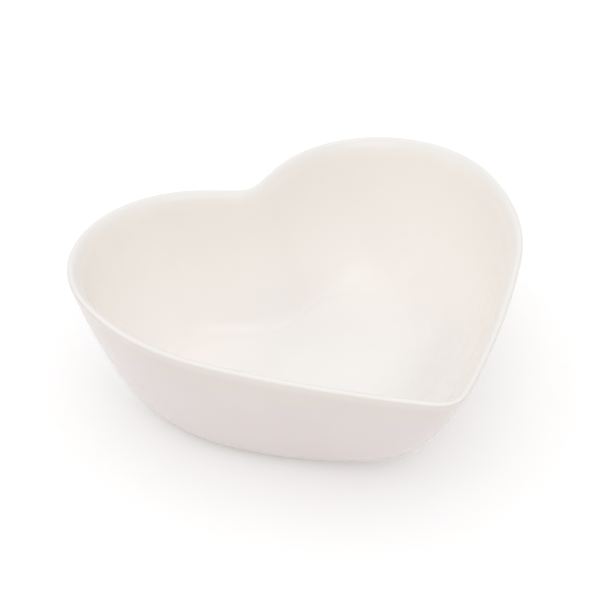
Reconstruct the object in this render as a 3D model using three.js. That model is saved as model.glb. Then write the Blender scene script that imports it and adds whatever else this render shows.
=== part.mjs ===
// Heart-shaped open trinket dish: one glazed ceramic shell that stands on three stick-on rubber pads.
// Millimetres, +Z up. The origin is on the surface that the dish stands on, below the middle of its
// outline. The notch between the two lobes is towards +Y and the pointed tip towards -Y.

import * as THREE from 'three';

// Heights
const HEIGHT = 49; // standing surface to the top of the lip
const FOOT_GAP = 0.6; // the pads lift the foot ring this far off the surface
const FLOOR_TOP = 5.2; // the flat floor inside the dish

// Shell
const WALL = 3.6; // thickness below the lip, measured across
const LIP_OUTER = 1.4; // radius of the lip's outer edge
const LIP_INNER_DROP = 4.8; // the lip's inner edge is a softer quarter ellipse, this deep
const FOOT_EDGE = 2; // radius that turns the outer wall under into the foot
const FOOT_RING = 6; // width of the flat ring that the shell would stand on without pads
const RECESS_DEPTH = 1.2; // the underside inside the foot ring is hollowed by this much
const RECESS_DRAFT = 0.8; // slope of the recess's edge, across its depth

// A heart is symmetric about x = 0. Clockwise from the notch, each half is six arcs that run into each
// other without a corner: a hollow fillet in the notch, its nearly straight flank, the lobe, the
// shoulder, the long side and the rounded tip. The radii are below, and back is the y of the lobes'
// furthest points.
const TURN = { notch: 33.5, flank: 7.5, lobe: 118.5, shoulder: 38 }; // degrees, for every heart
const LIP = { notch: 5.8, flank: 100, lobe: 38.5, shoulder: 71.5, side: 340, tip: 8, back: 65.5 };
const FOOT = { notch: 10.8, flank: 62, lobe: 22.5, shoulder: 43.5, side: 80, tip: 17, back: 50.1 };
const FLOOR = { notch: 16.8, flank: 56, lobe: 16.5, shoulder: 37.5, side: 74, tip: 14, back: 44.1 };

// Going up, the outline changes from the lower heart to the lip's by height share to this power, which
// swells the wall outwards. At 1 it would be straight.
const OUTER_SWELL = 0.6;
const INNER_SWELL = 0.52;

// Pads
const PAD_RADIUS = 6;
const PAD_EDGE = 0.4; // bevel round the face that meets the surface
const PAD_BACK_X = 23; // the two pads under the lobes, either side of the middle
const PAD_BACK_Y = 28;
const PAD_TIP_Y = -1; // the pad towards the tip, on the middle

// Facets
const STEPS = { notch: 3, flank: 2, lobe: 13, shoulder: 4, side: 8, tip: 5 }; // along half a heart
const EDGE_STEPS = 3; // round the foot's edge, and up or down each side of the lip
const OUTER_STEPS = 8;
const INNER_STEPS = 10;
const PAD_SIDES = 32;

const RECESS_TOP = FOOT_GAP + RECESS_DEPTH;
const LIP_INNER = WALL - LIP_OUTER;

// The same heart with its whole outline moved inwards by distance.
function inward(heart, distance) {
  return {
    notch: heart.notch + distance,
    flank: heart.flank - distance,
    lobe: heart.lobe - distance,
    shoulder: heart.shoulder - distance,
    side: heart.side - distance,
    tip: heart.tip - distance,
    back: heart.back - distance,
  };
}

// Moves a pen along an arc until it heads along endHeading, and adds the points after its start. A
// positive radius turns clockwise.
function drawArc(points, pen, radius, endHeading, steps) {
  const { x, y, heading } = pen;
  for (let i = 1; i <= steps; i += 1) {
    pen.heading = heading + ((endHeading - heading) * i) / steps;
    pen.x = x + radius * (Math.sin(heading) - Math.sin(pen.heading));
    pen.y = y + radius * (Math.cos(pen.heading) - Math.cos(heading));
    points.push([pen.x, pen.y]);
  }
}

// The heart's right half, from the notch to the tip, both on x = 0.
function halfHeart(heart) {
  const turn = (name) => THREE.MathUtils.degToRad(TURN[name]);
  const pen = { x: 0, y: 0, heading: 0 };
  const points = [[0, 0]];
  drawArc(points, pen, -heart.notch, turn('notch'), STEPS.notch);
  drawArc(points, pen, heart.flank, pen.heading - turn('flank'), STEPS.flank);
  const lobeBack = pen.y + heart.lobe * (1 - Math.cos(pen.heading));
  drawArc(points, pen, heart.lobe, pen.heading - turn('lobe'), STEPS.lobe);
  drawArc(points, pen, heart.shoulder, pen.heading - turn('shoulder'), STEPS.shoulder);
  // The side ends where the tip's arc, tangent to it, has its centre on x = 0.
  const sideCentreX = pen.x + heart.side * Math.sin(pen.heading);
  const sideEnd = -Math.PI - Math.asin(sideCentreX / (heart.side - heart.tip));
  drawArc(points, pen, heart.side, sideEnd, STEPS.side);
  drawArc(points, pen, heart.tip, -Math.PI, STEPS.tip);
  points[points.length - 1][0] = 0;
  return points.map(([x, y]) => [x, y + heart.back - lobeBack]);
}

// The whole outline, clockwise seen from above.
function outline(heart) {
  const right = halfHeart(heart);
  const left = right.slice(1, -1).reverse().map(([x, y]) => [-x, y]);
  return [...right, ...left];
}

// A ring of points at height z, a share of the way from the lower heart's outline to the upper one's.
function ring(lower, upper, share, z) {
  const end = outline(upper);
  return outline(lower).map(([x, y], i) => [
    THREE.MathUtils.lerp(x, end[i][0], share),
    THREE.MathUtils.lerp(y, end[i][1], share),
    z,
  ]);
}

// How far a quarter ellipse of the given width has curved inwards, at a share of its height.
function quarter(width, share) {
  return width * (1 - Math.sqrt(1 - Math.min(1, Math.max(0, share)) ** 2));
}

// The outer wall at height z. It turns under at the foot and over at the lip.
function outerRing(z) {
  const share = ((z - FOOT_GAP) / (HEIGHT - FOOT_GAP)) ** OUTER_SWELL;
  const inset =
    quarter(FOOT_EDGE, (FOOT_GAP + FOOT_EDGE - z) / FOOT_EDGE) +
    quarter(LIP_OUTER, (z - HEIGHT + LIP_OUTER) / LIP_OUTER);
  return ring(inward(FOOT, inset), inward(LIP, inset), share, z);
}

// The inner wall at height z, which thins towards the top of the lip.
function innerRing(z) {
  const share = ((z - FLOOR_TOP) / (HEIGHT - FLOOR_TOP)) ** INNER_SWELL;
  const inset = WALL - quarter(LIP_INNER, (z - HEIGHT + LIP_INNER_DROP) / LIP_INNER_DROP);
  return ring(FLOOR, inward(LIP, inset), share, z);
}

// Heights between two levels, spaced so that the wall moves outwards by equal steps.
function wallHeights(from, to, bottom, swell, steps) {
  const share = (z) => ((z - bottom) / (HEIGHT - bottom)) ** swell;
  return Array.from({ length: steps }, (_, i) => {
    const moved = THREE.MathUtils.lerp(share(from), share(to), (i + 1) / steps);
    return bottom + (HEIGHT - bottom) * moved ** (1 / swell);
  });
}

// Heights up a quarter ellipse that starts flat at height from and ends upright at height to.
function edgeHeights(from, to) {
  return Array.from({ length: EDGE_STEPS }, (_, i) => {
    const angle = (Math.PI / 2) * (i / EDGE_STEPS);
    return THREE.MathUtils.lerp(from, to, 1 - Math.cos(angle));
  });
}

// The rings of the shell's surface in order: out over the underside, up the outer wall, over the lip,
// and down the inner wall to the floor.
function shellRings() {
  const recessInset = FOOT_EDGE + FOOT_RING;
  const footTop = FOOT_GAP + FOOT_EDGE;
  const lipBottom = HEIGHT - LIP_OUTER;
  const lipInnerBottom = HEIGHT - LIP_INNER_DROP;
  const outer = [
    ...edgeHeights(FOOT_GAP, footTop),
    footTop,
    ...wallHeights(footTop, lipBottom, FOOT_GAP, OUTER_SWELL, OUTER_STEPS),
    ...edgeHeights(HEIGHT, lipBottom).reverse(),
  ];
  const inner = [
    ...edgeHeights(HEIGHT, lipInnerBottom).slice(1),
    lipInnerBottom,
    ...wallHeights(lipInnerBottom, FLOOR_TOP, FLOOR_TOP, INNER_SWELL, INNER_STEPS),
  ];
  return [
    ring(inward(FOOT, recessInset + RECESS_DRAFT), LIP, 0, RECESS_TOP),
    ring(inward(FOOT, recessInset), LIP, 0, FOOT_GAP),
    ...outer.map(outerRing),
    ...inner.map(innerRing),
  ];
}

// A closed surface through the rings, with a flat fan at each end. The rings run clockwise seen from
// above, and the first one is the underside's, so that the faces point out of the shell.
function loft(rings) {
  const count = rings[0].length;
  const positions = rings.flat(2);
  const faces = [];
  for (let r = 0; r < rings.length - 1; r += 1) {
    for (let i = 0; i < count; i += 1) {
      const next = (i + 1) % count;
      const a = r * count + i;
      const b = r * count + next;
      faces.push(a, a + count, b, b, a + count, b + count);
    }
  }
  const last = (rings.length - 1) * count;
  const underside = rings.length * count;
  const floor = underside + 1;
  for (const end of [rings[0], rings[rings.length - 1]]) {
    const halfway = end[count / 2][1];
    positions.push(0, (end[0][1] + halfway) / 2, end[0][2]);
  }
  for (let i = 0; i < count; i += 1) {
    const next = (i + 1) % count;
    faces.push(underside, i, next);
    faces.push(floor, last + next, last + i);
  }
  const geometry = new THREE.BufferGeometry();
  geometry.setAttribute('position', new THREE.Float32BufferAttribute(positions, 3));
  geometry.setIndex(faces);
  geometry.computeVertexNormals();
  return geometry;
}

function makeDishBody(material) {
  const mesh = new THREE.Mesh(loft(shellRings()), material);
  mesh.name = 'dish_body';
  return mesh;
}

// A round pad from the surface up to the recess, where its sticky face holds it.
function makePad(name, x, y, material) {
  const profile = [
    [0, 0],
    [PAD_RADIUS - PAD_EDGE, 0],
    [PAD_RADIUS, PAD_EDGE],
    [PAD_RADIUS, RECESS_TOP],
    [0, RECESS_TOP],
  ].map(([radius, height]) => new THREE.Vector2(radius, height));
  const geometry = new THREE.LatheGeometry(profile, PAD_SIDES);
  geometry.rotateX(Math.PI / 2);
  const mesh = new THREE.Mesh(geometry, material);
  mesh.name = name;
  mesh.position.set(x, y, 0);
  return mesh;
}

const glaze = new THREE.MeshStandardMaterial({ color: 0xf3efe8, roughness: 0.2, metalness: 0 });
const rubber = new THREE.MeshStandardMaterial({ color: 0xd9d6cf, roughness: 0.6, metalness: 0 });

const dish = new THREE.Group();
dish.add(makeDishBody(glaze));
dish.add(makePad('base_pad_left', -PAD_BACK_X, PAD_BACK_Y, rubber));
dish.add(makePad('base_pad_right', PAD_BACK_X, PAD_BACK_Y, rubber));
dish.add(makePad('base_pad_tip', 0, PAD_TIP_Y, rubber));

export default dish;
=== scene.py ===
"""Heart-shaped trinket dish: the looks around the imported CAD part, in metres."""
import math

import bpy
import numpy as np
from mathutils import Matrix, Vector, noise


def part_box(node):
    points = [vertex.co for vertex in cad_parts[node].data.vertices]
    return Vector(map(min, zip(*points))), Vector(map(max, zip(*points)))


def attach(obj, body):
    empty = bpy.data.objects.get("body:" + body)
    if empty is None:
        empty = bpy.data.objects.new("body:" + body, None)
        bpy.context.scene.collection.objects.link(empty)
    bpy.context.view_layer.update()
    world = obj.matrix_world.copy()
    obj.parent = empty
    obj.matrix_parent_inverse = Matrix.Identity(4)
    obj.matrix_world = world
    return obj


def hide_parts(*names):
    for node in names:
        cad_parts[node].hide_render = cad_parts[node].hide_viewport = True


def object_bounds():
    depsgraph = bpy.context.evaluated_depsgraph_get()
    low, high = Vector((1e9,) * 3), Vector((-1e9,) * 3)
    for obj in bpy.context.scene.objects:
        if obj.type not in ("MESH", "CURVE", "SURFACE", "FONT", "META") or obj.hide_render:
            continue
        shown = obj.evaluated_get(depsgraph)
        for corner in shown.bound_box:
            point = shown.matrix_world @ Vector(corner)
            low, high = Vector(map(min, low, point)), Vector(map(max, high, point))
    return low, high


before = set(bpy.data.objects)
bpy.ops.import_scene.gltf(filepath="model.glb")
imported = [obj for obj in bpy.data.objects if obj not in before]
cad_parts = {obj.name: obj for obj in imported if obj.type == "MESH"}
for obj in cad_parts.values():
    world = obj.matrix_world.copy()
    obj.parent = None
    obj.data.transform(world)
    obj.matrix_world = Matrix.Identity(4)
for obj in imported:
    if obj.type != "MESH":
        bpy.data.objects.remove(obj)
cad_low, cad_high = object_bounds()
shell_low, shell_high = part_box("dish_body")

MM = 0.001

# ---------------------------------------------------------------- the dish's shape, as in the CAD part

FOOT_Z = shell_low.z
LIP_Z = shell_high.z
FLOOR_Z = cad_low.z + 5.2 * MM
WALL = 3.6 * MM
LIP_OUTER = 1.4 * MM
LIP_INNER_DROP = 4.8 * MM
FOOT_EDGE = 2.0 * MM
FOOT_RING = 6.0 * MM
RECESS_DEPTH = 1.2 * MM
RECESS_DRAFT = 0.8 * MM
OUTER_SWELL = 0.6
INNER_SWELL = 0.52

# Each half of a heart is six arcs. Radii in millimetres; "back" is the y of the lobes' furthest points.
TURN = {"notch": 33.5, "flank": 7.5, "lobe": 118.5, "shoulder": 38}  # degrees
LIP = {"notch": 5.8, "flank": 100, "lobe": 38.5, "shoulder": 71.5, "side": 340, "tip": 8, "back": 65.5}
FOOT = {"notch": 10.8, "flank": 62, "lobe": 22.5, "shoulder": 43.5, "side": 80, "tip": 17, "back": 50.1}
FLOOR = {"notch": 16.8, "flank": 56, "lobe": 16.5, "shoulder": 37.5, "side": 74, "tip": 14, "back": 44.1}

# Steps along the arcs of half a heart, about even along the lip, and along the shell's section
STEPS = {"notch": 3, "flank": 12, "lobe": 70, "shoulder": 42, "side": 52, "tip": 5}
SOFTENING = 8  # passes that ease each arc into the next, as modelling and glazing do
CAP_STEPS = 14
EDGE_STEPS = 9
FOOT_STEPS = 5
OUTER_STEPS = 60
INNER_STEPS = 56

# The glaze stops short of the foot in a soft bead, and hand finishing leaves the form a little uneven.
GLAZE_LINE = 1.1 * MM  # above the foot
GLAZE_THICKNESS = 0.18 * MM
GLAZE_LINE_WANDER = 0.5 * MM
UNEVENNESS = 0.10 * MM
UNEVENNESS_SIZE = 40 * MM
UNEVENNESS_DETAIL = 2.3  # a second, finer and weaker swell, this many times smaller
UNEVENNESS_FADE = 3 * MM  # above the foot

LIP_INNER = WALL - LIP_OUTER


def inward(heart, distance):
    """The same heart with its whole outline moved inwards."""
    moved = {name: length - distance / MM for name, length in heart.items()}
    moved["notch"] = heart["notch"] + distance / MM
    return moved


def arc(start, heading, radius, end_heading, steps):
    """Points after start along an arc. A positive radius turns clockwise."""
    h = heading + (end_heading - heading) * np.arange(1, steps + 1) / steps
    x = start[0] + radius * (math.sin(heading) - np.sin(h))
    y = start[1] + radius * (np.cos(h) - math.cos(heading))
    return np.stack([x, y], axis=1)


def outline(heart):
    """The closed outline of a heart, clockwise from the notch, in metres."""
    points = [np.zeros((1, 2))]
    heading = 0.0
    for name, turn in TURN.items():
        radius = -heart[name] if name == "notch" else heart[name]
        end = heading + math.radians(turn if name == "notch" else -turn)
        points.append(arc(points[-1][-1], heading, radius, end, STEPS[name]))
        if name == "flank":
            lobe_back = points[-1][-1][1] + heart["lobe"] * (1 - math.cos(end))
        heading = end
    side_centre_x = points[-1][-1][0] + heart["side"] * math.sin(heading)
    side_end = -math.pi - math.asin(side_centre_x / (heart["side"] - heart["tip"]))
    points.append(arc(points[-1][-1], heading, heart["side"], side_end, STEPS["side"]))
    points.append(arc(points[-1][-1], side_end, heart["tip"], -math.pi, STEPS["tip"]))
    right = np.concatenate(points)
    right[-1][0] = 0.0
    right[:, 1] += heart["back"] - lobe_back
    left = right[1:-1][::-1] * (-1, 1)
    return np.concatenate([right, left]) * MM


def ring(lower, upper, share, z):
    flat = outline(lower) * (1 - share) + outline(upper) * share
    for _ in range(SOFTENING):
        flat = (np.roll(flat, 1, axis=0) + 2 * flat + np.roll(flat, -1, axis=0)) / 4
    return np.column_stack([flat, np.full(len(flat), z)])


def smooth_step(t):
    t = min(1.0, max(0.0, t))
    return t * t * (3 - 2 * t)


def quarter(width, share):
    """How far a quarter ellipse of this width has curved inwards, at a share of its height."""
    return width * (1 - math.sqrt(1 - min(1.0, max(0.0, share)) ** 2))


def outer_ring(z):
    share = ((z - FOOT_Z) / (LIP_Z - FOOT_Z)) ** OUTER_SWELL
    inset = quarter(FOOT_EDGE, (FOOT_Z + FOOT_EDGE - z) / FOOT_EDGE)
    inset += quarter(LIP_OUTER, (z - LIP_Z + LIP_OUTER) / LIP_OUTER)
    # The glaze thickens from half the glaze line's height to one and a half times it.
    inset += GLAZE_THICKNESS * (1 - smooth_step((z - FOOT_Z) / GLAZE_LINE - 0.5))
    return ring(inward(FOOT, inset), inward(LIP, inset), share, z)


def inner_ring(z):
    share = ((z - FLOOR_Z) / (LIP_Z - FLOOR_Z)) ** INNER_SWELL
    inset = WALL - quarter(LIP_INNER, (z - LIP_Z + LIP_INNER_DROP) / LIP_INNER_DROP)
    return ring(FLOOR, inward(LIP, inset), share, z)


def wall_heights(start, end, bottom, swell, steps):
    """Heights after start, up to end, that move the wall outwards by equal steps."""
    first, last = (((z - bottom) / (LIP_Z - bottom)) ** swell for z in (start, end))
    moved = first + (last - first) * np.arange(1, steps + 1) / steps
    return bottom + (LIP_Z - bottom) * moved ** (1 / swell)


def edge_heights(flat, upright):
    """Heights up a quarter ellipse, from where it lies flat to just before it stands upright."""
    return flat + (upright - flat) * (1 - np.cos(np.linspace(0, math.pi / 2, EDGE_STEPS + 1)[:-1]))


def cap_rings(edge):
    """The middle of a flat heart, and rings from there out to its edge, without the edge."""
    middle = np.array([0.0, (edge[0][1] + edge[len(edge) // 2][1]) / 2, edge[0][2]])
    return middle, [middle + (edge - middle) * i / CAP_STEPS for i in range(1, CAP_STEPS)]


def shell_rings():
    """Out over the underside, up the outer wall, over the lip and down to the inside floor."""
    recess_inset = FOOT_EDGE + FOOT_RING
    recess = ring(inward(FOOT, recess_inset + RECESS_DRAFT), LIP, 0, FOOT_Z + RECESS_DEPTH)
    underside, rings = cap_rings(recess)
    for t in np.linspace(0, 1, EDGE_STEPS):
        z = FOOT_Z + RECESS_DEPTH * (1 - smooth_step(t))
        rings.append(ring(inward(FOOT, recess_inset + RECESS_DRAFT * (1 - t)), LIP, 0, z))
    for i in range(1, FOOT_STEPS):
        rings.append(ring(inward(FOOT, recess_inset - FOOT_RING * i / FOOT_STEPS), LIP, 0, FOOT_Z))

    foot_top = FOOT_Z + FOOT_EDGE
    lip_bottom = LIP_Z - LIP_OUTER
    rings += [outer_ring(z) for z in edge_heights(FOOT_Z, foot_top)]
    rings.append(outer_ring(foot_top))
    rings += [outer_ring(z) for z in wall_heights(foot_top, lip_bottom, FOOT_Z, OUTER_SWELL, OUTER_STEPS)]
    rings += [outer_ring(z) for z in edge_heights(LIP_Z, lip_bottom)[::-1]]

    lip_inner_bottom = LIP_Z - LIP_INNER_DROP
    rings += [inner_ring(z) for z in edge_heights(LIP_Z, lip_inner_bottom)[1:]]
    rings.append(inner_ring(lip_inner_bottom))
    inner_heights = wall_heights(lip_inner_bottom, FLOOR_Z, FLOOR_Z, INNER_SWELL, INNER_STEPS)
    rings += [inner_ring(z) for z in inner_heights]
    floor_middle, above = cap_rings(rings[-1])
    return underside, rings + above[::-1], floor_middle


def make_shell():
    underside, rings, floor_middle = shell_rings()
    count = len(rings[0])
    vertices = np.concatenate([*rings, [underside, floor_middle]])
    a = np.arange(count)
    b = np.roll(a, -1)
    quads = np.stack([a, a + count, b + count, b], axis=1)
    faces = np.concatenate([quads + r * count for r in range(len(rings) - 1)]).tolist()
    last = (len(rings) - 1) * count
    bottom, top = len(rings) * count, len(rings) * count + 1
    faces += [(bottom, i, j) for i, j in zip(a.tolist(), b.tolist())]
    faces += [(top, last + j, last + i) for i, j in zip(a.tolist(), b.tolist())]
    mesh = bpy.data.meshes.new("dish_shell")
    mesh.from_pydata(vertices.tolist(), [], faces)
    mesh.shade_smooth()
    shell = bpy.data.objects.new("dish_shell", mesh)
    bpy.context.scene.collection.objects.link(shell)
    make_uneven(mesh)
    return shell


def make_uneven(mesh):
    """Slow swells in the surface, fading out at the foot ring, which is ground flat."""
    normals = [v.normal.copy() for v in mesh.vertices]
    for v, normal in zip(mesh.vertices, normals):
        fade = smooth_step((v.co.z - FOOT_Z) / UNEVENNESS_FADE)
        place = v.co / UNEVENNESS_SIZE
        swell = noise.noise(place) + 0.5 * noise.noise(place * UNEVENNESS_DETAIL)
        v.co -= normal * UNEVENNESS * fade * (0.5 + 0.5 * swell)
    mesh.update()


# ---------------------------------------------------------------- pads

PAD_EDGE = 0.45 * MM
PAD_EDGE_INSET = 0.35  # the rubber stays inside the film's edge by this share of PAD_EDGE
PAD_GROOVE = 0.12 * MM
PAD_GROOVE_PLACE = 0.55  # share of the radius
PAD_GROOVE_WIDTH = 1.2 * MM
PAD_FILM = 0.2 * MM
PAD_FILM_EDGE = 0.02 * MM
PAD_SIDES = 72
PAD_STEPS = 8  # across the groove, and round the edge
PAD_SHARP = 40  # degrees; steeper edges stay crisp


def make_pad(node):
    """A moulded rubber pad: rounded edge, a shallow ring groove underneath, sticky film on top."""
    low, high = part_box(node)
    centre, radius = (low + high) / 2, (high.x - low.x) / 2
    groove = PAD_GROOVE_PLACE * radius
    rubber_radius = radius - PAD_EDGE * PAD_EDGE_INSET
    profile = []
    for i in range(PAD_STEPS + 1):
        t = i / PAD_STEPS
        profile.append((groove + (t - 0.5) * PAD_GROOVE_WIDTH, PAD_GROOVE * math.sin(math.pi * t) ** 2))
    for i in range(PAD_STEPS + 1):
        angle = math.pi / 2 * i / PAD_STEPS
        inset = PAD_EDGE * (1 - math.sin(angle))
        profile.append((rubber_radius - inset, PAD_EDGE * (1 - math.cos(angle))))
    top_z = high.z - low.z
    film = top_z - PAD_FILM
    profile += [(rubber_radius, film), (radius, film + PAD_FILM_EDGE)]
    profile += [(radius, top_z - PAD_FILM_EDGE), (radius - PAD_FILM_EDGE, top_z)]
    vertices, faces = [], []
    for r, z in profile:
        for k in range(PAD_SIDES):
            a = 2 * math.pi * k / PAD_SIDES
            vertices.append((centre.x + r * math.cos(a), centre.y + r * math.sin(a), low.z + z))
    rows = len(profile)
    for j in range(rows - 1):
        for k in range(PAD_SIDES):
            a, b = j * PAD_SIDES + k, j * PAD_SIDES + (k + 1) % PAD_SIDES
            faces.append((a, b, b + PAD_SIDES, a + PAD_SIDES))
    bottom, top = len(vertices), len(vertices) + 1
    vertices += [(centre.x, centre.y, low.z), (centre.x, centre.y, high.z)]
    for k in range(PAD_SIDES):
        after = (k + 1) % PAD_SIDES
        faces.append((bottom, after, k))
        faces.append((top, (rows - 1) * PAD_SIDES + k, (rows - 1) * PAD_SIDES + after))
    name = node.replace("base_pad", "rubber_pad")
    mesh = bpy.data.meshes.new(name)
    mesh.from_pydata(vertices, [], faces)
    mesh.shade_smooth()
    mesh.set_sharp_from_angle(angle=math.radians(PAD_SHARP))
    pad = bpy.data.objects.new(name, mesh)
    bpy.context.scene.collection.objects.link(pad)
    return pad


# ---------------------------------------------------------------- materials


class Nodes:
    """A short way to add and link shader nodes."""

    def __init__(self, name):
        self.material = bpy.data.materials.new(name)
        self.material.use_nodes = True
        self.tree = self.material.node_tree
        self.shader = self.tree.nodes["Principled BSDF"]

    def add(self, kind, inputs=None, **settings):
        made = self.tree.nodes.new(kind)
        for name, value in settings.items():
            setattr(made, name, value)
        for name, value in (inputs or {}).items():
            self.set(made.inputs[name], value)
        return made

    def set(self, socket, value):
        if isinstance(value, bpy.types.NodeSocket):
            self.tree.links.new(value, socket)
        else:
            socket.default_value = value

    def noise(self, where, scale, detail=2.0):
        made = self.add("ShaderNodeTexNoise", {"Vector": where, "Scale": scale, "Detail": detail})
        return made.outputs["Fac"]

    def ramp(self, value, low, high, out_low=0.0, out_high=1.0):
        """Maps value from low..high to out_low..out_high, smoothly, and holds it outside."""
        made = self.add("ShaderNodeMapRange",
                        {"Value": value, "From Min": low, "From Max": high,
                         "To Min": out_low, "To Max": out_high},
                        interpolation_type="SMOOTHSTEP")
        return made.outputs["Result"]

    def mix(self, share, a, b):
        made = self.add("ShaderNodeMix", data_type="RGBA")
        self.set(made.inputs[0], share)
        self.set(made.inputs[6], a)
        self.set(made.inputs[7], b)
        return made.outputs[2]

    def math(self, operation, a, b):
        made = self.add("ShaderNodeMath", operation=operation)
        self.set(made.inputs[0], a)
        self.set(made.inputs[1], b)
        return made.outputs[0]

    def vector(self, operation, a, b):
        """A vector for MULTIPLY, and a number for DOT_PRODUCT and DISTANCE."""
        made = self.add("ShaderNodeVectorMath", {0: a, 1: b}, operation=operation)
        return made.outputs["Vector" if operation == "MULTIPLY" else "Value"]

    def bump(self, height, distance, strength=1.0, below=None):
        made = self.add("ShaderNodeBump", {"Height": height, "Distance": distance, "Strength": strength})
        if below is not None:
            self.set(made.inputs["Normal"], below)
        return made.outputs["Normal"]


# Glaze tones, with painted light and shade in them. Inside, it is warm up the wall, lighter low on the
# wall as painted light against the shade in the corner, and clears to a pool of neutral tone over the
# floor, darker there as painted shade against the light from overhead. The lip's top is darker, as
# painted shade where it faces up. Outside, it is pinker and darker, as painted shade where the wall faces
# down, with a warmer band below the lip and a lighter edge as a painted highlight where it rolls over the
# lip.
INSIDE_WALL = (0.91, 0.865, 0.815, 1)
# Lighter low on the inner wall: painted light against the shade that falls in the corner.
INSIDE_CORNER_PAINTED_LIGHT = (0.936, 0.899, 0.867, 1)
# A neutral glaze pool over the floor, darker as painted shade against the overhead light it gets.
FLOOR_POOL_AND_SHADE = (0.86, 0.842, 0.828, 1)
# Pinker outside, and darker as painted shade where the wall faces down, away from the light.
OUTSIDE_TONE_AND_SHADE = (0.74, 0.672, 0.66, 1)
# A warmer band below the lip, in the same darker outside tone of painted shade.
OUTSIDE_UPPER_SHADE = (0.735, 0.671, 0.63, 1)
# A lighter edge where the glaze rolls over the lip: painted highlight.
OUTSIDE_EDGE_LIGHT = (0.765, 0.712, 0.672, 1)
# Darker on the lip's top: painted shade where the lip faces up into the light.
LIP_TOP_SHADE = (0.842, 0.816, 0.787, 1)
DRIFT = 0.98  # the darker patches of the slow drift, against the tone around them
BISQUE = (0.74, 0.67, 0.58, 1)
BISQUE_DARK = (0.66, 0.59, 0.50, 1)
BISQUE_ROUGHNESS = 0.85

# Where a tone, or the bare clay, starts and where it is full. Heights come first, then how far the
# surface faces up (1 is flat, 0 is upright and below 0 faces down), then distances.
CORNER_LIGHT_HEIGHTS = (LIP_Z - 6 * MM, FLOOR_Z + 8 * MM)
LIP_SHADE_HEIGHTS = (LIP_Z - 5 * MM, LIP_Z - 2 * MM)
UPPER_SHADE_HEIGHTS = (LIP_Z - 13 * MM, LIP_Z - 7 * MM)
EDGE_LIGHT_HEIGHTS = (LIP_Z - 4.5 * MM, LIP_Z - 1.4 * MM)
BARE_HEIGHTS = (FOOT_Z + GLAZE_LINE + 0.2 * MM, FOOT_Z + GLAZE_LINE - 0.05 * MM)
LIP_SHADE_FACING = (0.25, 0.85)
OVER_FACING = (0.97, 0.1)  # rolling over the lip's outer side
SHADE_UNDER_FACING = (0, -0.2)
OUTWARD = (0, 12 * MM)  # from the middle of the dish, along the way that the surface faces
POOL_AND_SHADE_MIDDLE = (7 * MM, 8 * MM, FLOOR_Z)
POOL_AND_SHADE_SPREAD = (49 * MM, 20 * MM)  # from the pool's middle

# Scales of the noise textures, in cycles per metre
CLOUD_SCALE = 26
GLOSS_SCALE = 60
GLAZE_LINE_SCALE = 160
PINHOLE_SCALE = 190
PEEL_SCALE = 420
CLAY_SCALE = 2600


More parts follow.
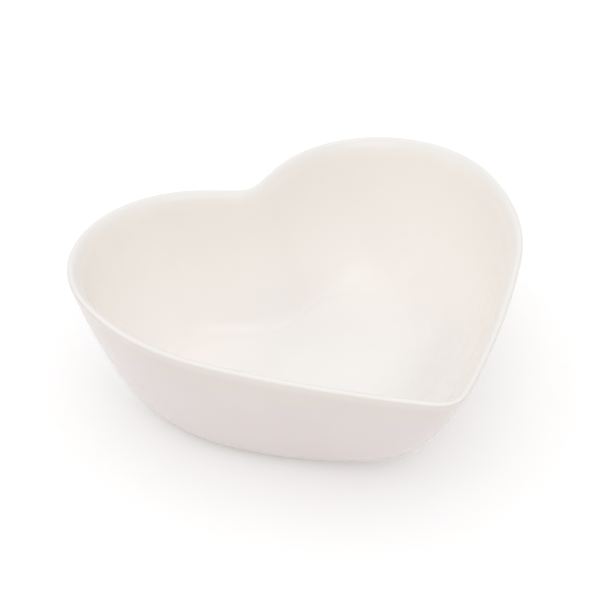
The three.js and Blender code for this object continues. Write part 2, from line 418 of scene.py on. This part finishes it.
def glazed_ceramic():
    n = Nodes("glazed_ceramic")
    place = n.add("ShaderNodeTexCoord")
    where = place.outputs["Object"]
    height = n.add("ShaderNodeSeparateXYZ", {"Vector": where}).outputs["Z"]
    normal = place.outputs["Normal"]
    facing = n.add("ShaderNodeSeparateXYZ", {"Vector": normal}).outputs["Z"]
    flat = n.vector("MULTIPLY", normal, (1, 1, 0))
    outward = n.vector("DOT_PRODUCT", flat, where)

    # Colour, from the inner wall down to the floor's pool, then over the lip and down the outside, with
    # painted light and shade in the steps between these tones
    # Lighter low on the inner wall: painted light against the shade in the corner.
    tone = n.mix(n.ramp(height, *CORNER_LIGHT_HEIGHTS), INSIDE_WALL, INSIDE_CORNER_PAINTED_LIGHT)
    # The floor's pool: neutral glaze tone, made darker as painted shade against the light from overhead.
    spread = n.vector("DISTANCE", where, POOL_AND_SHADE_MIDDLE)
    tone = n.mix(n.ramp(spread, *POOL_AND_SHADE_SPREAD), tone, FLOOR_POOL_AND_SHADE)
    # The lip's top is darker, and lightens down its inner rounding: painted shade and light set against
    # how the light falls there.
    lip_shade = n.math("MULTIPLY", n.ramp(facing, *LIP_SHADE_FACING), n.ramp(height, *LIP_SHADE_HEIGHTS))
    tone = n.mix(lip_shade, tone, LIP_TOP_SHADE)
    # The outside: darker as painted shade where the surface faces down or rolls over the lip's outer
    # side.
    over = n.math("MULTIPLY", n.ramp(outward, *OUTWARD), n.ramp(facing, *OVER_FACING))
    outside_shade = n.math("MAXIMUM", over, n.ramp(facing, *SHADE_UNDER_FACING))
    shaded_skin = n.mix(n.ramp(height, *UPPER_SHADE_HEIGHTS), OUTSIDE_TONE_AND_SHADE, OUTSIDE_UPPER_SHADE)
    # A lighter edge below the lip on the outside: painted highlight on the rounding.
    shaded_skin = n.mix(n.ramp(height, *EDGE_LIGHT_HEIGHTS), shaded_skin, OUTSIDE_EDGE_LIGHT)
    tone = n.mix(outside_shade, tone, shaded_skin)
    cloud = n.ramp(n.noise(where, CLOUD_SCALE, 3), 0.35, 0.65)
    darker = n.add("ShaderNodeVectorMath", operation="SCALE")
    n.set(darker.inputs[0], tone)
    darker.inputs["Scale"].default_value = DRIFT
    colour = n.mix(cloud, tone, darker.outputs[0])

    # Bare fired clay below the glaze line
    wander = n.math("MULTIPLY", n.noise(where, GLAZE_LINE_SCALE, 2), GLAZE_LINE_WANDER)
    bare = n.ramp(n.math("ADD", height, wander), *BARE_HEIGHTS)
    grain = n.noise(where, CLAY_SCALE, 4)
    clay = n.mix(n.ramp(grain, 0.35, 0.7), BISQUE, BISQUE_DARK)
    n.set(n.shader.inputs["Base Color"], n.mix(bare, colour, clay))

    # Gloss: the glaze is smooth, with faint dull patches; bare clay is matt
    gloss = n.ramp(n.noise(where, GLOSS_SCALE, 4), 0.3, 0.75, out_low=0.14, out_high=0.22)
    rough = n.add("ShaderNodeMix", data_type="FLOAT")
    n.set(rough.inputs[0], bare)
    n.set(rough.inputs[2], gloss)
    rough.inputs[3].default_value = BISQUE_ROUGHNESS
    n.set(n.shader.inputs["Roughness"], rough.outputs[0])
    n.shader.inputs["IOR"].default_value = 1.5

    # Surface: orange peel, a scatter of pinholes, and clay grain on the foot
    peel = n.bump(n.noise(where, PEEL_SCALE, 2), distance=0.010 * MM, strength=0.5)
    cells = n.add("ShaderNodeTexVoronoi", {"Vector": where, "Scale": PINHOLE_SCALE, "Randomness": 1})
    pinholes = n.ramp(cells.outputs["Distance"], 0.02, 0.06)
    pinholes = n.bump(pinholes, distance=0.02 * MM, strength=0.2, below=peel)
    clay_grain = n.math("MULTIPLY", grain, bare)
    clay_grain = n.bump(clay_grain, distance=0.05 * MM, strength=0.8, below=pinholes)
    n.set(n.shader.inputs["Normal"], clay_grain)
    return n.material


RUBBER = (0.70, 0.68, 0.63, 1)
RUBBER_DARK = (0.62, 0.60, 0.55, 1)
ADHESIVE = (0.86, 0.85, 0.82, 1)
RUBBER_CLOUD_SCALE = 300  # cycles per metre
RUBBER_GLOSS_SCALE = 700
RUBBER_GRAIN_SCALE = 4200


def pad_rubber(top_z):
    """Rubber up to the adhesive film, which is the pad's top."""
    n = Nodes("pad_rubber")
    where = n.add("ShaderNodeTexCoord").outputs["Object"]
    height = n.add("ShaderNodeSeparateXYZ", {"Vector": where}).outputs["Z"]
    cloud = n.ramp(n.noise(where, RUBBER_CLOUD_SCALE, 3), 0.3, 0.7)
    colour = n.mix(cloud, RUBBER, RUBBER_DARK)
    film = top_z - PAD_FILM
    adhesive = n.ramp(height, film - PAD_FILM_EDGE, film + PAD_FILM_EDGE)
    n.set(n.shader.inputs["Base Color"], n.mix(adhesive, colour, ADHESIVE))
    gloss = n.ramp(n.noise(where, RUBBER_GLOSS_SCALE, 2), 0.3, 0.7, out_low=0.5, out_high=0.68)
    n.set(n.shader.inputs["Roughness"], gloss)
    grain = n.bump(n.noise(where, RUBBER_GRAIN_SCALE, 2), distance=0.02 * MM, strength=0.5)
    n.set(n.shader.inputs["Normal"], grain)
    return n.material


TABLE_GLOW = 0.26  # a light table, which keeps the ground white and the shadow faint
STAGE_WHITE = (0.75, 0.75, 0.75, 1)


def stage_white(name, glow):
    n = Nodes(name)
    n.shader.inputs["Base Color"].default_value = STAGE_WHITE
    n.shader.inputs["Roughness"].default_value = 0.9
    n.shader.inputs["Emission Color"].default_value = (1, 1, 1, 1)
    n.shader.inputs["Emission Strength"].default_value = glow
    return n.material


# ---------------------------------------------------------------- build the object

shell = make_shell()
shell.data.materials.append(glazed_ceramic())
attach(shell, "root")
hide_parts("dish_body")

rubber = pad_rubber(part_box("base_pad_tip")[1].z)
for side in ("left", "right", "tip"):
    pad = make_pad(f"base_pad_{side}")
    pad.data.materials.append(rubber)
    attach(pad, "root")
    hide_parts(f"base_pad_{side}")

# ---------------------------------------------------------------- stage, light and camera

FLOOR_SIZE = 12.0
SHADOW_CARD_MARGIN = 0.8 * MM  # a white card that does not glow, this much larger than the foot, lies under it as a painted contact shadow
CARD_LIFT = 0.01 * MM


def make_stage(name, corners, glow):
    mesh = bpy.data.meshes.new(name)
    mesh.from_pydata(corners, [], [range(len(corners))])
    mesh.materials.append(stage_white(name, glow))
    flat = bpy.data.objects.new(name, mesh)
    bpy.context.scene.collection.objects.link(flat)


half = FLOOR_SIZE / 2
square = [(-half, -half), (half, -half), (half, half), (-half, half)]
make_stage("light_table", [(x, y, cad_low.z) for x, y in square], TABLE_GLOW)
# The card under the foot does not glow, so the ground round the foot stays darker: a painted contact
# shadow.
contact_shadow_card = ring(inward(FOOT, -SHADOW_CARD_MARGIN), LIP, 0, cad_low.z + CARD_LIFT)
make_stage("contact_shadow_card", contact_shadow_card[::-1].tolist(), 0.0)

# A white tent all round, brighter overhead than at the horizon
HORIZON = 0.53
OVERHEAD = 1.22
world = bpy.data.worlds.new("studio")
world.use_nodes = True
tree = world.node_tree
tree.nodes["Background"].inputs["Color"].default_value = (1, 1, 1, 1)
direction = tree.nodes.new("ShaderNodeTexCoord")
split = tree.nodes.new("ShaderNodeSeparateXYZ")
rise = tree.nodes.new("ShaderNodeMapRange")
rise.inputs["To Min"].default_value = HORIZON
rise.inputs["To Max"].default_value = OVERHEAD
tree.links.new(direction.outputs["Generated"], split.inputs[0])
tree.links.new(split.outputs["Z"], rise.inputs["Value"])
tree.links.new(rise.outputs["Result"], tree.nodes["Background"].inputs["Strength"])
bpy.context.scene.world = world


def softbox(name, azimuth, elevation, distance, size, power):
    """A square light that faces the dish. Azimuth 0 is in front of it, towards -Y."""
    a, e = math.radians(azimuth), math.radians(elevation)
    away = Vector((math.sin(a) * math.cos(e), -math.cos(a) * math.cos(e), math.sin(e)))
    data = bpy.data.lights.new(name, "AREA")
    data.shape = "SQUARE"
    data.size = size
    data.energy = power
    light = bpy.data.objects.new(name, data)
    light.location = (cad_low + cad_high) / 2 + away * distance
    light.rotation_euler = away.to_track_quat("Z", "Y").to_euler()
    bpy.context.scene.collection.objects.link(light)


softbox("front", azimuth=-20, elevation=48, distance=1.5, size=1.0, power=2.3)
softbox("side_left", azimuth=-110, elevation=25, distance=1.4, size=0.9, power=0.95)

CAMERA_AZIMUTH = math.radians(-29.0)
CAMERA_ELEVATION = math.radians(36.64)
CAMERA_DISTANCE = 0.641
CAMERA_LENS = 134.46
aim = Vector((-14.2 * MM, -4.05 * MM, cad_high.z))

camera_data = bpy.data.cameras.new("camera")
camera_data.sensor_width = 36
camera_data.lens = CAMERA_LENS
camera = bpy.data.objects.new("camera", camera_data)
back = Vector((math.sin(CAMERA_AZIMUTH) * math.cos(CAMERA_ELEVATION),
               -math.cos(CAMERA_AZIMUTH) * math.cos(CAMERA_ELEVATION),
               math.sin(CAMERA_ELEVATION)))
camera.location = aim + back * CAMERA_DISTANCE
camera.rotation_euler = back.to_track_quat("Z", "Y").to_euler()
bpy.context.scene.collection.objects.link(camera)
bpy.context.scene.camera = camera

bpy.context.scene.view_settings.view_transform = "Standard"
bpy.context.scene.view_settings.look = "None"
